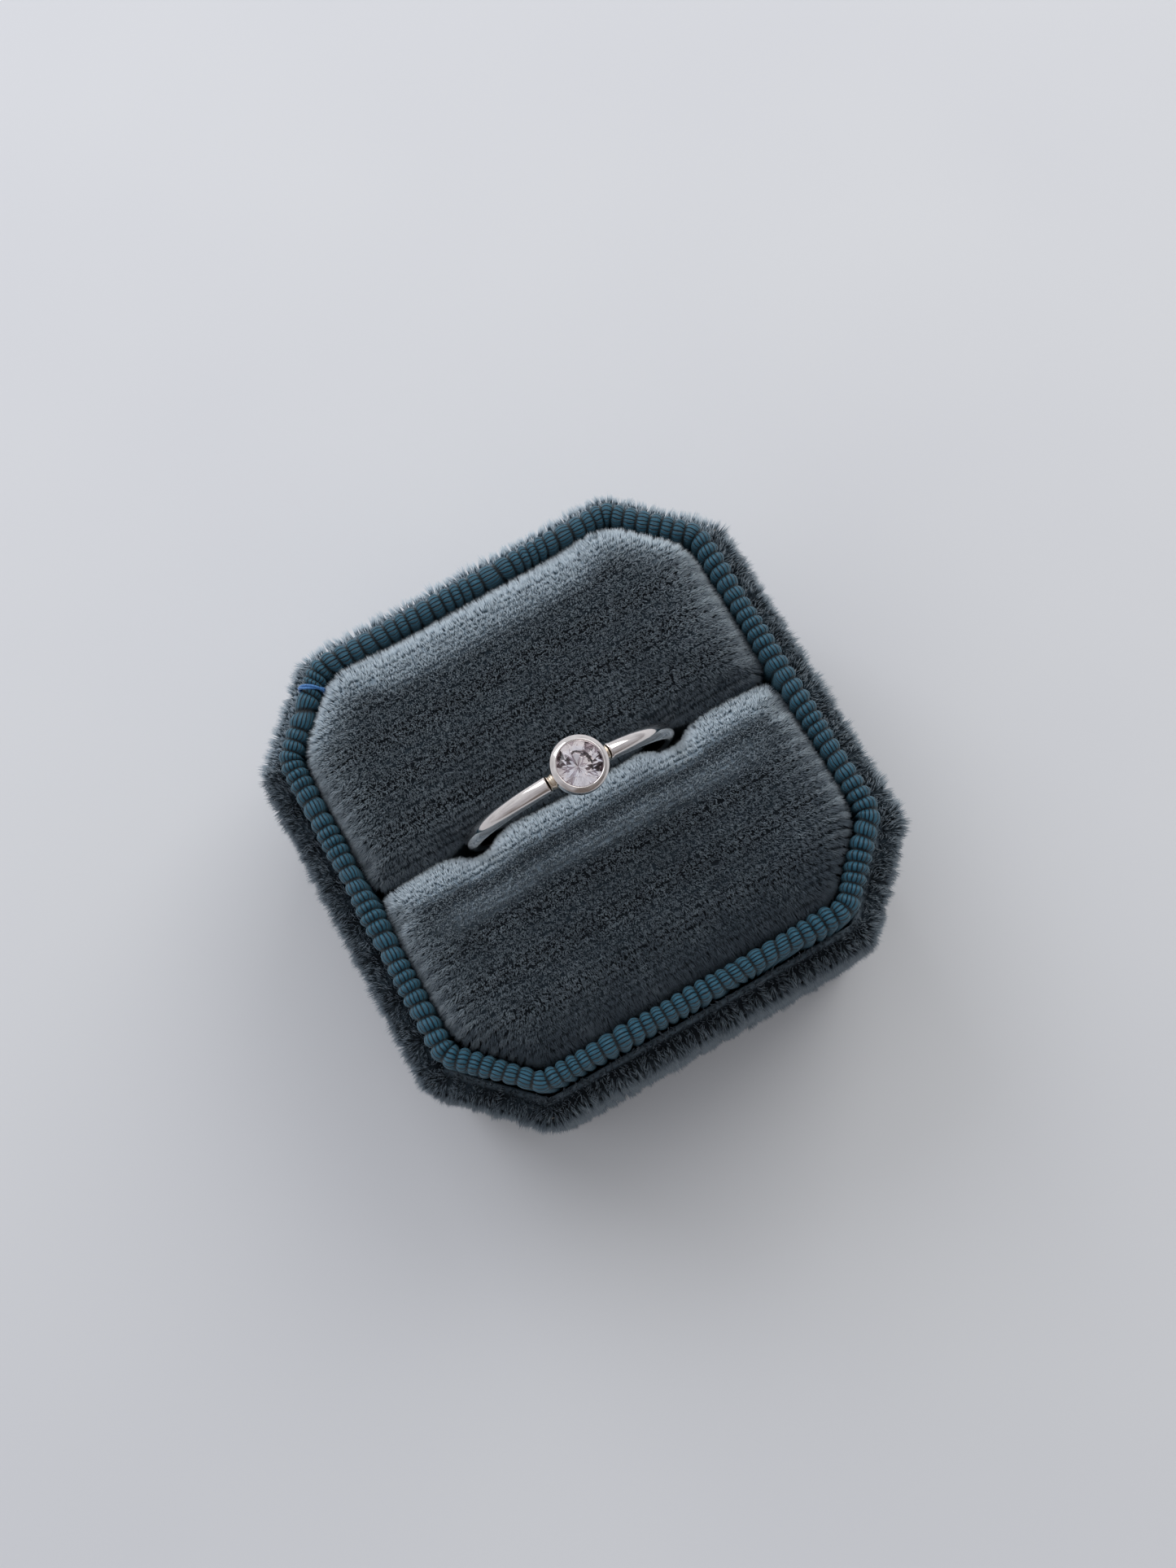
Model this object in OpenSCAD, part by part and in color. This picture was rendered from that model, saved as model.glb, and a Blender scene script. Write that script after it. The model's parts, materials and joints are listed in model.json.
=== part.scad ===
// Octagonal velvet ring box, open, with a bezel-set ring standing in its slot.
// The frame's origin is the centre of the underside, +Z is up, and the slot runs along X.
// The box is built outwards from the collar board: every outline is the same octagon,
// moved in or out by the thickness of what is wrapped round it.

/* [Collar] */
// Width across the flats of the collar board's outside
collar_w = 43.2; // [38:0.2:60]
// Leg of each cut corner on the collar board's outside
corner_leg = 6.5; // [4:0.1:10]
// Thickness of the collar board
collar_board_t = 1.2; // [0.8:0.1:2.5]
// Height that the collar stands above the velvet shell, for the lid to slide over
collar_reach = 5; // [3:0.5:9]

/* [Shell] */
// Height of the velvet-wrapped shell
shell_h = 23; // [19:0.5:36]
// Thickness of the shell's wall board
wall_board_t = 1.4; // [1:0.1:3]
// Thickness of the bottom board
bottom_board_t = 1.6; // [1:0.1:3]
// Thickness of the velvet, backing and nap together
velvet_t = 0.7; // [0.5:0.1:1]
// Thickness of the velvet where it is pinched between the wall board and the collar
tuck_t = 0.4; // [0.3:0.1:0.8]
// Depth that the velvet is tucked in over the wall board's top edge
tuck_h = 4; // [2:0.5:8]
// Width of the velvet hem turned under the bottom
hem_w = 5; // [3:0.5:8]

/* [Ribbon] */
// Thickness of the grosgrain ribbon
ribbon_t = 0.4; // [0.3:0.05:0.6]
// Depth that the ribbon reaches down inside the collar
ribbon_in_h = 7; // [4:0.5:10]
// Depth that the ribbon's outer edge goes below the shell's top edge
ribbon_under_h = 3; // [1:0.5:8]
// Width of the stitch that closes the ribbon's lap
stitch_w = 0.35; // [0.2:0.05:0.6]
// Thickness of the stitch
stitch_t = 0.15; // [0.1:0.05:0.3]
// Share of the rear left cut corner at which the stitch sits
stitch_at = 0.25; // [0.1:0.05:0.9]

/* [Pads] */
// Height of the pads' crown above the collar's rim
pad_crown = 0.8; // [0:0.1:2]
// Rounding radius of the pads' top edges
pad_round = 2.6; // [1:0.1:4]
// Gap between the pads and the ribbon inside the collar
pad_side_gap = 0.2; // [0.1:0.05:0.5]
// Gap between the ring's band and each pad
band_gap = 0.25; // [0.15:0.05:0.5]
// Radius of the pads' upright corners
pad_corner_r = 3; // [1:0.1:5]
// Thickness of the card under the pads
insert_card_t = 1; // [0.6:0.1:2]
// Gap between the ring's lowest point and the strip under it
strip_gap = 0.15; // [0.1:0.05:0.5]

/* [Ring] */
// Inside diameter of the ring
ring_id = 18.5; // [14:0.1:22]
// Width of the band, the diameter of the wire it is made from
band_w = 1.5; // [1.2:0.1:2.5]
// Thickness of the band, from its flat inside to its crest
band_t = 1.25; // [1:0.05:1.8]
// Height of the ring's centre below the collar's rim
ring_sink = 1.4; // [0:0.1:4]
// Distance of the ring's centre from the middle of the slot
ring_shift = -0.45; // [-4:0.05:4]
// Angle that the stone is turned from the ring's top, in degrees
ring_roll = 5.2; // [-20:0.5:20]
// Angle that the ring and its slot lean towards the front, in degrees
lean = 5.8; // [0:0.1:10]
// Girdle diameter of the stone
stone_d = 4; // [2.5:0.1:6.5]
// Wall thickness of the bezel
bezel_wall = 0.4; // [0.3:0.05:0.8]
// Height of the bezel
bezel_h = 2.3; // [1.8:0.1:3.5]
// Height of the bezel's rim above the band's crest
bezel_rise = 1.1; // [0.6:0.1:2]
// Gap that the solder bridges between the bezel and each end of the band
solder_gap = 0.35; // [0.2:0.05:0.6]

/* [Hidden] */
$fn = 96;

// Distances out from the collar board's outside, from the inside outwards
k_ribbon_in = -collar_board_t - ribbon_t;
k_pad = k_ribbon_in - pad_side_gap;
k_ribbon_out = ribbon_t;
k_wall_in = k_ribbon_out + tuck_t;
k_wall_out = k_wall_in + wall_board_t;
k_velvet_out = k_wall_out + velvet_t;

// Heights, from the underside up
floor_z = velvet_t + bottom_board_t;
card_top_z = floor_z + insert_card_t;
wall_top_z = shell_h - velvet_t;
rim_z = shell_h + collar_reach;
collar_top_z = rim_z - ribbon_t;
pad_top_z = rim_z + pad_crown;

// How finely the pads' corners and top edges are rounded
arc_steps = 4;
round_steps = 6;

// The ring
wire_r = band_w / 2;
ring_or = ring_id / 2 + band_t;
ring_z = rim_z - ring_sink;
slot_w = band_w + 2 * band_gap;
ring_y = leant_y(ring_z);
strip_top_z = ring_z - (ring_or + strip_gap) * cos(lean);

// The bezel and stone, on the ring's own axis through the stone
girdle_r = stone_d / 2;
girdle_t = 0.03 * stone_d;
crown_h = 0.15 * stone_d;
pavilion_h = 0.43 * stone_d;
table_r = 0.57 * girdle_r;
star_r = 0.79 * girdle_r;
lower_half_r = 0.22 * girdle_r;
stone_play = 0.02;
table_proud = 0.15;
bezel_r = girdle_r + stone_play + bezel_wall;
bezel_top_r = ring_or + bezel_rise;
bezel_foot_r = bezel_top_r - bezel_h;
foot_r = 0.86 * bezel_r;
girdle_top_r = bezel_top_r + table_proud - crown_h;
seat_r = girdle_top_r - girdle_t;
lip_r = girdle_r - 0.05;
culet_hole_r = 0.3 * girdle_r;
end_x = bezel_r + solder_gap;

// The slot's middle plane leans forward about the line where it crosses the rim's height
function leant_y(z) = (rim_z - z) * tan(lean);

// One point of the octagon moved out by k: a flat's end at (half width, half width less leg)
function leg_at(k) = corner_leg + (2 - sqrt(2)) * k;
function half_at(k) = collar_w / 2 + k;
function outline(k) = let (h = half_at(k), e = h - leg_at(k))
    [[h, -e], [h, e], [e, h], [-e, h], [-h, e], [-h, -e], [-e, -h], [e, -h]];

module plate(k, z0, z1) {
    translate([0, 0, z0]) linear_extrude(z1 - z0) polygon(outline(k));
}

module tube(k_in, k_out, z0, z1) {
    translate([0, 0, z0]) linear_extrude(z1 - z0) difference() {
        polygon(outline(k_out));
        polygon(outline(k_in));
    }
}

// Suede paper on the underside, inside the velvet's hem
module bottom_cover() {
    color("dimgray") plate(k_velvet_out - hem_w, 0, velvet_t);
}

module bottom_board() {
    color("tan") plate(k_wall_in, velvet_t, floor_z);
}

module wall_board() {
    color("tan") tube(k_wall_in, k_wall_out, velvet_t, wall_top_z);
}

// One strip of velvet: the hem, the outside, the fold over the edge and the tuck
module velvet_wrap() {
    color("darkslategray") union() {
        tube(k_velvet_out - hem_w, k_velvet_out, 0, velvet_t);
        tube(k_wall_out, k_velvet_out, 0, shell_h);
        tube(k_ribbon_out, k_velvet_out, wall_top_z, shell_h);
        tube(k_ribbon_out, k_wall_in, shell_h - tuck_h, shell_h);
    }
}

module collar_board() {
    color("tan") tube(-collar_board_t, 0, floor_z, collar_top_z);
}

// Grosgrain ribbon folded over the collar's rim
module ribbon_trim() {
    color("teal") union() {
        tube(0, k_ribbon_out, shell_h - ribbon_under_h, rim_z);
        tube(k_ribbon_in, k_ribbon_out, collar_top_z, rim_z);
        tube(k_ribbon_in, -collar_board_t, rim_z - ribbon_in_h, rim_z);
    }
}

// Thread that closes the ribbon's lap, across the rim near the rear left corner
module ribbon_stitch() {
    corner_a = outline(k_ribbon_out)[3];
    corner_b = outline(k_ribbon_out)[4];
    at = corner_a + stitch_at * (corner_b - corner_a);
    rim_t = k_ribbon_out - k_ribbon_in;
    side_h = 1.2;
    color("royalblue") translate([at[0], at[1], rim_z]) rotate([0, 0, 135]) difference() {
        translate([-rim_t - stitch_t, -stitch_w / 2, -side_h])
            cube([rim_t + 2 * stitch_t, stitch_w, side_h + stitch_t]);
        translate([-rim_t, -stitch_w, -side_h - 1]) cube([rim_t, 2 * stitch_w, side_h + 1]);
    }
}

module insert_card() {
    color("tan") plate(-collar_board_t, floor_z, card_top_z);
}

// Foam strip that fills the bottom of the slot and stops the ring
module slot_strip() {
    half_x = half_at(k_pad) - pad_corner_r;
    half_y = slot_w / 2 / cos(lean);
    low = leant_y(card_top_z);
    high = leant_y(strip_top_z);
    color("slategray") translate([-half_x, 0, 0]) rotate([90, 0, 90]) linear_extrude(2 * half_x)
        polygon([[low - half_y, card_top_z], [low + half_y, card_top_z],
                 [high + half_y, strip_top_z], [high - half_y, strip_top_z]]);
}

// One level of a pad, moved in by d all round: the octagon from the slot outwards, side +1 at the rear
function pad_level(side, d, z) = let (
    h = half_at(k_pad - d),
    s = slot_w / 2 / cos(lean) + d + side * leant_y(z),
    r = max(pad_corner_r - d, 0.3),
    centres = outline(k_pad - d - r),
    arcs = [for (i = [0:3], j = [0:arc_steps]) let (a = 45 * (i + j / arc_steps))
        centres[i + 1] + r * [cos(a), sin(a)]]
) [for (p = concat([[h, s]], arcs, [[-h, s]])) [p[0], side * p[1], z]];

// A pad's form with its top edges rounded, moved in by d, from its card or from drop below that
module pad_form(side, d, drop = 0) {
    levels = concat([pad_level(side, d, card_top_z - drop)], [for (i = [0:round_steps]) let (a = 90 * i / round_steps)
        pad_level(side, d + pad_round * (1 - cos(a)), pad_top_z - d - pad_round * (1 - sin(a)))]);
    n = len(levels[0]);
    last = len(levels) - 1;
    faces = concat(
        [[for (i = [0:n - 1]) i]],
        [for (l = [0:last - 1], i = [0:n - 1]) [l * n + i, (l + 1) * n + i, (l + 1) * n + (i + 1) % n]],
        [for (l = [0:last - 1], i = [0:n - 1]) [l * n + i, (l + 1) * n + (i + 1) % n, l * n + (i + 1) % n]],
        [[for (i = [n - 1:-1:0]) last * n + i]]
    );
    polyhedron(
        points = [for (level = levels, p = level) p],
        faces = side > 0 ? faces : [for (f = faces) [for (i = [len(f) - 1:-1:0]) f[i]]]
    );
}

module pad_cover(side) {
    color("darkslategray") difference() {
        pad_form(side, 0);
        pad_form(side, velvet_t, 1);
    }
}

module rear_pad_foam() { color("gainsboro") pad_form(1, velvet_t); }
module front_pad_foam() { color("gainsboro") pad_form(-1, velvet_t); }
module rear_pad_cover() { pad_cover(1); }
module front_pad_cover() { pad_cover(-1); }

// Places the ring's parts, which are drawn about its centre with the stone straight up
module on_ring() {
    translate([ring_shift, ring_y, ring_z]) rotate([lean, 0, 0]) rotate([0, ring_roll, 0]) children();
}

// Round wire with a flat inside, open at the top where the bezel stands
module ring_band() {
    color("silver") on_ring() difference() {
        rotate([90, 0, 0]) rotate_extrude() intersection() {
            translate([ring_or - wire_r, 0]) circle(r = wire_r);
            translate([ring_id / 2, -band_w]) square([band_t, 2 * band_w]);
        }
        translate([-end_x, -band_w, 0]) cube([2 * end_x, 2 * band_w, 2 * ring_or]);
    }
}

// The outside of the bezel: a tapered foot, a straight wall and a burnished edge
module bezel_form() {
    edge = 0.25;
    translate([0, 0, bezel_foot_r]) cylinder(r1 = foot_r, r2 = bezel_r, h = bezel_h / 2);
    translate([0, 0, bezel_foot_r + bezel_h / 2]) cylinder(r = bezel_r, h = bezel_h / 2 - edge);
    translate([0, 0, bezel_top_r - edge]) cylinder(r1 = bezel_r, r2 = bezel_r - edge / 2, h = edge);
}

// The solder that joins each end of the band to the bezel
module ring_solder() {
    solder_r = 0.7 * wire_r;
    solder_z = sqrt(pow(ring_or, 2) - pow(end_x, 2)) - wire_r;
    color("wheat") on_ring() for (side = [-1, 1]) difference() {
        translate([side * end_x, 0, solder_z]) rotate([0, -side * 90, 0]) cylinder(r = solder_r, h = end_x / 2);
        bezel_form();
        translate([0, 0, bezel_foot_r - band_w]) cylinder(r = foot_r, h = band_w);
    }
}

// The cup that holds the stone: its form, bored for the girdle, the pavilion, the table and the culet
module ring_bezel() {
    bore_r = girdle_r + stone_play;
    color("silver") on_ring() difference() {
        bezel_form();
        translate([0, 0, seat_r - stone_play]) cylinder(r = bore_r, h = girdle_t + 2 * stone_play);
        translate([0, 0, girdle_top_r]) cylinder(r = lip_r, h = bezel_h);
        translate([0, 0, seat_r - pavilion_h]) cylinder(r1 = culet_hole_r, r2 = bore_r, h = pavilion_h - stone_play);
        translate([0, 0, bezel_foot_r - 1]) cylinder(r = culet_hole_r, h = bezel_h);
    }
}

// Round brilliant: table, stars, kites and upper halves over the girdle, mains and lower halves under it
module ring_stone() {
    table_z = girdle_top_r + crown_h;
    crown_slope = -crown_h / (girdle_r - table_r);
    star_z = table_z + crown_slope * (star_r * cos(22.5) - table_r);
    culet_z = seat_r - pavilion_h;
    half_z = culet_z + pavilion_h * lower_half_r * cos(22.5) / girdle_r;
    points = concat(
        [for (i = [0:7]) [table_r * cos(45 * i), table_r * sin(45 * i), table_z]],
        [for (i = [0:7]) [star_r * cos(45 * i + 22.5), star_r * sin(45 * i + 22.5), star_z]],
        [for (i = [0:15]) [girdle_r * cos(22.5 * i), girdle_r * sin(22.5 * i), girdle_top_r]],
        [for (i = [0:15]) [girdle_r * cos(22.5 * i), girdle_r * sin(22.5 * i), seat_r]],
        [for (i = [0:7]) [lower_half_r * cos(45 * i + 22.5), lower_half_r * sin(45 * i + 22.5), half_z]],
        [[0, 0, culet_z]]
    );
    star = 8;
    upper = 16;
    lower = 32;
    half = 48;
    culet = 56;
    faces = concat(
        [[7, 6, 5, 4, 3, 2, 1, 0]],
        [for (i = [0:7]) [i, (i + 1) % 8, star + i]],
        [for (i = [0:7]) [i, star + i, upper + 2 * i, star + (i + 7) % 8]],
        [for (i = [0:7]) [star + i, upper + 2 * i + 1, upper + 2 * i]],
        [for (i = [0:7]) [star + i, upper + (2 * i + 2) % 16, upper + 2 * i + 1]],
        [for (i = [0:15]) [upper + i, upper + (i + 1) % 16, lower + (i + 1) % 16, lower + i]],
        [for (i = [0:7]) [half + i, lower + 2 * i, lower + 2 * i + 1]],
        [for (i = [0:7]) [half + i, lower + 2 * i + 1, lower + (2 * i + 2) % 16]],
        [for (i = [0:7]) [culet, half + (i + 7) % 8, lower + 2 * i, half + i]]
    );
    color("white") on_ring() polyhedron(points = points, faces = faces, convexity = 4);
}

bottom_cover();
bottom_board();
wall_board();
velvet_wrap();
collar_board();
ribbon_trim();
ribbon_stitch();
insert_card();
slot_strip();
rear_pad_foam();
front_pad_foam();
rear_pad_cover();
front_pad_cover();
ring_band();
ring_solder();
ring_bezel();
ring_stone();
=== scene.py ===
"""The looks of an octagonal velvet ring box, open, with a bezel-set ring standing in its slit.

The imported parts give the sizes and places. Lengths in this script are millimetres until a mesh
is made, and angles are degrees unless a name says otherwise.
"""

import json
import math

import bmesh
import bpy
import numpy as np
from mathutils import Matrix, Vector
from mathutils.bvhtree import BVHTree


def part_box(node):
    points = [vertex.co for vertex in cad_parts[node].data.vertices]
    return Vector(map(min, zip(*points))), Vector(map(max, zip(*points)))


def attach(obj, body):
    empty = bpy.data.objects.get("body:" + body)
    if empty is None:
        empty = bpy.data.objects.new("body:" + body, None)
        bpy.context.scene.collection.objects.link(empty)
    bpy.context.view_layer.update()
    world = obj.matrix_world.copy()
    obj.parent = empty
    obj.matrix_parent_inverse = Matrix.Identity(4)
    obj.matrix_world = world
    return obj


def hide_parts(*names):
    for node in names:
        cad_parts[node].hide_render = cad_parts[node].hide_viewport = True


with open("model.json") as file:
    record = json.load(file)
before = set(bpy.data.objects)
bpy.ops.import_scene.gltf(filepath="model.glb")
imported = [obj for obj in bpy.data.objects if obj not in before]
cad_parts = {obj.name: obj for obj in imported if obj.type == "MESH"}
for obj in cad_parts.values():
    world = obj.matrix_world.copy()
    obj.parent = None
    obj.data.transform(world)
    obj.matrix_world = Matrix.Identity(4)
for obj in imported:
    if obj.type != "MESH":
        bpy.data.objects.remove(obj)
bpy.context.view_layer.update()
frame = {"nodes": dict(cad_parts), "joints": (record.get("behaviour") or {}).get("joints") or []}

MM = 0.001
UP = np.array([0.0, 0.0, 1.0])


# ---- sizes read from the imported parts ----

def corners(node):
    """A node's lowest and highest corners, in millimetres."""
    low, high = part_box(node)
    return np.array(low) / MM, np.array(high) / MM


def octagon_of(node):
    """Half the width across a node's flats, and the leg of its cut corners."""
    points = np.array([v.co for v in frame["nodes"][node].data.vertices]) / MM
    half = points[:, 0].max()
    flat_end = np.abs(points[points[:, 0] > half - 0.01, 1]).max()
    return half, half - flat_end


collar_half, collar_leg = octagon_of("collar_board")
wall_half = corners("wall_board")[1][0]
wall_top = corners("wall_board")[1][2]
shell_top = corners("velvet_wrap")[1][2]
ribbon_low = corners("ribbon_trim")[0][2]
rim_top = corners("ribbon_trim")[1][2]
ribbon_half = corners("ribbon_trim")[1][0]
card_top = corners("insert_card")[1][2]
pad_half = corners("rear_pad_cover")[1][0]


# ---- nodes, colours and meshes ----

def srgb(code, alpha=1.0):
    """An sRGB hex colour as the linear values that a shader takes."""
    parts = [int(code[i:i + 2], 16) / 255 for i in (1, 3, 5)]
    return [p / 12.92 if p <= 0.04045 else ((p + 0.055) / 1.055) ** 2.4 for p in parts] + [alpha]


def put(tree, kind, inputs=None, stops=(), **settings):
    """Adds a node. Each input is a value, or another node's socket to link from.

    Stops are the (place, sRGB hex) pairs of a colour ramp.
    """
    made = tree.nodes.new(kind)
    for key, value in settings.items():
        setattr(made, key, value)
    for key, value in (inputs or {}).items():
        if isinstance(value, bpy.types.NodeSocket):
            tree.links.new(value, made.inputs[key])
        else:
            made.inputs[key].default_value = value
    if stops:
        steps = made.color_ramp.elements
        while len(steps) < len(stops):
            steps.new(0.5)
        for step, (place, code) in zip(steps, stops):
            step.position = place
            step.color = srgb(code)
    return made


def empty_material(name):
    """A new material's tree with nothing but its output node."""
    made = bpy.data.materials.new(name)
    made.use_nodes = True
    tree = made.node_tree
    tree.nodes.clear()
    return made, tree, tree.nodes.new("ShaderNodeOutputMaterial")


def per(size_mm):
    """The scale of a pattern in object coordinates whose feature is this wide."""
    return 1 / (size_mm * MM)


def mottled(name, grain, stops, surface, relief=None):
    """A material whose colour, and relief where it has one, follow one noise.

    Grain and surface are inputs of the noise and of the shader, and relief is (strength, depth in mm).
    """
    made, tree, out = empty_material(name)
    place = put(tree, "ShaderNodeTexCoord")
    noise = put(tree, "ShaderNodeTexNoise", {"Vector": place.outputs["Object"]} | grain).outputs["Fac"]
    colour = put(tree, "ShaderNodeValToRGB", {"Fac": noise}, stops=stops).outputs["Color"]
    surface = {"Base Color": colour} | surface
    if relief:
        strength, depth = relief
        bump = put(tree, "ShaderNodeBump", {"Height": noise, "Strength": strength, "Distance": depth * MM})
        surface["Normal"] = bump.outputs["Normal"]
    shade = put(tree, "ShaderNodeBsdfPrincipled", surface)
    tree.links.new(shade.outputs[0], out.inputs["Surface"])
    return made


def linked(name, data):
    """A new object in the scene for a mesh, a light or a camera."""
    made = bpy.data.objects.new(name, data)
    bpy.context.scene.collection.objects.link(made)
    return made


def apply_modifier(body, name):
    """Applies one modifier of a body."""
    with bpy.context.temp_override(object=body, active_object=body, selected_objects=[body]):
        bpy.ops.object.modifier_apply(modifier=name)


def make(name, points, faces, material, smooth=True):
    """A mesh piece from points in millimetres and an array of triangles or quads."""
    mesh = bpy.data.meshes.new(name)
    faces = np.asarray(faces, np.int32)
    count, sides = faces.shape
    mesh.vertices.add(len(points))
    mesh.vertices.foreach_set("co", (np.asarray(points) * MM).astype(np.float32).ravel())
    mesh.loops.add(count * sides)
    mesh.loops.foreach_set("vertex_index", faces.ravel())
    mesh.polygons.add(count)
    mesh.polygons.foreach_set("loop_start", np.arange(0, count * sides, sides, dtype=np.int32))
    mesh.polygons.foreach_set("use_smooth", np.full(count, smooth))
    mesh.update(calc_edges=True)
    mesh.validate()
    mesh.materials.append(material)
    return linked(name, mesh)


def set_uv(piece, name, per_vertex):
    """Gives a piece a UV map from one (u, v) pair for each vertex."""
    mesh = piece.data
    order = np.zeros(len(mesh.loops), np.int32)
    mesh.loops.foreach_get("vertex_index", order)
    layer = mesh.uv_layers.new(name=name)
    layer.data.foreach_set("uv", np.asarray(per_vertex, np.float32)[order].ravel())


def close_ends(piece, around, sharp=True):
    """Caps an open tube's two ends, with sharp or smooth rims, and turns its faces outwards."""
    shape = bmesh.new()
    shape.from_mesh(piece.data)
    caps = bmesh.ops.holes_fill(shape, edges=[e for e in shape.edges if e.is_boundary], sides=around)
    if sharp:
        for cap in caps["faces"]:
            cap.smooth = False
    bmesh.ops.recalc_face_normals(shape, faces=shape.faces)
    shape.to_mesh(piece.data)
    shape.free()


def loop_faces(rings, around, close_rings):
    """Quads of a grid of rings, each closed on itself. Close_rings joins the last to the first."""
    ring = np.arange(rings if close_rings else rings - 1)[:, None]
    step = np.arange(around)[None, :]
    after = (ring + 1) % rings
    beside = (step + 1) % around
    return np.stack([ring * around + step, ring * around + beside,
                     after * around + beside, after * around + step], -1).reshape(-1, 4)


# ---- the octagon that everything is wrapped round ----

def leg_at(half):
    """The leg of the cut corners on the octagon whose flats are this far out."""
    return collar_leg + (2 - math.sqrt(2)) * (half - collar_half)


def rounded_octagon(half, leg, radius, count):
    """Points and outward directions, evenly spaced round an octagon with rounded corners.

    They run anticlockwise from the middle of the +X flat.
    """
    end = half - leg
    knots = [(half, -end), (half, end), (end, half), (-end, half),
             (-half, end), (-half, -end), (-end, -half), (end, -half)]
    tangent = radius * math.tan(math.radians(22.5))
    arc = radius * math.radians(45)
    straights = [2 * end - 2 * tangent, leg * math.sqrt(2) - 2 * tangent]
    total = 4 * sum(straights) + 8 * arc
    at = (np.arange(count) * total / count + straights[0] / 2) % total
    points = np.zeros((count, 2))
    outward = np.zeros((count, 2))
    start = 0.0
    for side in range(8):
        heading = math.radians(45 * side)
        normal = np.array([math.cos(heading), math.sin(heading)])
        along = np.array([-normal[1], normal[0]])
        first = np.array(knots[side]) + along * tangent
        length = straights[side % 2]
        on = (at >= start) & (at < start + length)
        points[on] = first + (at[on] - start)[:, None] * along
        outward[on] = normal
        start += length
        centre = first + length * along - normal * radius
        on = (at >= start) & (at < start + arc)
        turn = heading + (at[on] - start) / radius
        outward[on] = np.stack([np.cos(turn), np.sin(turn)], -1)
        points[on] = centre + outward[on] * radius
        start += arc
    return points, outward


def wrapped(profile, count, round_at, radius):
    """Rings round the box through (half width, height) pairs, with each ring's outward directions.

    Corners have this radius at half width round_at. Every other ring runs parallel to that one,
    so lines across the rings stay square to the box's flats and fan out only at its corners.
    """
    points, outward = rounded_octagon(round_at, leg_at(round_at), radius, count)
    rings = []
    for half, height in profile:
        apart = half - round_at
        ring, facing = points + outward * apart, outward
        if apart < 0.2 - radius:
            ring, facing = rounded_octagon(half, leg_at(half), 0.25, count)
        rings.append((np.column_stack([ring, np.full(count, height)]), facing))
    return np.array([r[0] for r in rings]), np.array([r[1] for r in rings])


def resampled(line, spacing):
    """A line's points again, about this far apart, with the distance along it."""
    line = np.asarray(line, float)
    steps = np.linalg.norm(np.diff(line, axis=0), axis=1)
    along = np.concatenate([[0], np.cumsum(steps)])
    at = np.linspace(0, along[-1], max(2, int(round(along[-1] / spacing)) + 1))
    return np.stack([np.interp(at, along, line[:, i]) for i in range(line.shape[1])], -1), at


def arc_line(centre, radius, start, end, steps=12):
    """Points on an arc between two angles."""
    angles = np.radians(np.linspace(start, end, steps + 1))
    return [(centre[0] + radius * math.cos(a), centre[1] + radius * math.sin(a)) for a in angles]


def profile_normals(line):
    """The directions that point to the left of a line's run, one for each point."""
    run = np.gradient(line, axis=0)
    run /= np.linalg.norm(run, axis=1)[:, None]
    return np.stack([-run[:, 1], run[:, 0]], -1)


# ---- materials ----

# how far apart the velvet's rows of tufts are, and the tufts in a row
TUFT_ROW = 0.62
TUFT_STEP = 0.26


def cotton_velvet_pile():
    """Cotton velvet, dyed and cut. Painted shade darkens each fibre towards its root, and each tuft's tone
    mixes in a paler copy of the same velvet: a painted sheen.
    """
    made, tree, out = empty_material("cotton_velvet_cut_pile")
    place = put(tree, "ShaderNodeTexCoord")
    map_pile = put(tree, "ShaderNodeUVMap", uv_map="pile")
    tuft = put(tree, "ShaderNodeSeparateXYZ", {"Vector": map_pile.outputs["UV"]})
    # dye takes a little differently from tuft to tuft, and in soft patches where the pile is crushed
    patches = put(tree, "ShaderNodeTexNoise",
                  {"Vector": place.outputs["Object"], "Scale": per(4), "Detail": 3.0, "Roughness": 0.6})
    # both ramps run from root to tip and darken towards the root, a painted shade; the second is the same
    # velvet painted paler, a painted sheen
    shaded_velvet = put(tree, "ShaderNodeValToRGB",
                 {"Fac": tuft.outputs["Y"]},
                 stops=[(0.0, "#171e23"), (0.35, "#3c4750"), (1.0, "#6e7b86")]).outputs["Color"]
    sheen_lit_velvet = put(tree, "ShaderNodeValToRGB",
                 {"Fac": tuft.outputs["Y"]},
                 stops=[(0.0, "#63727c"), (0.35, "#a3b4bf"), (1.0, "#e6f0f5")]).outputs["Color"]
    crushed = put(tree, "ShaderNodeMapRange",
                  {"Value": patches.outputs["Fac"], "From Min": 0.3, "From Max": 0.7, "To Min": -0.08,
                   "To Max": 0.08})
    tone = put(tree, "ShaderNodeMath",
               {0: tuft.outputs["X"], 1: crushed.outputs["Result"]}, operation="ADD")
    dye_and_painted_sheen = put(tree, "ShaderNodeMix",
               {"Factor": tone.outputs[0], 6: shaded_velvet, 7: sheen_lit_velvet}, data_type="RGBA")
    shade = put(tree, "ShaderNodeBsdfPrincipled",
                {"Base Color": dye_and_painted_sheen.outputs[2], "Roughness": 0.75, "Specular IOR Level": 0.25,
                 "Sheen Weight": 0.4, "Sheen Roughness": 0.45, "Sheen Tint": srgb("#b7c8d4")})
    tree.links.new(shade.outputs[0], out.inputs["Surface"])
    return made


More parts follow.
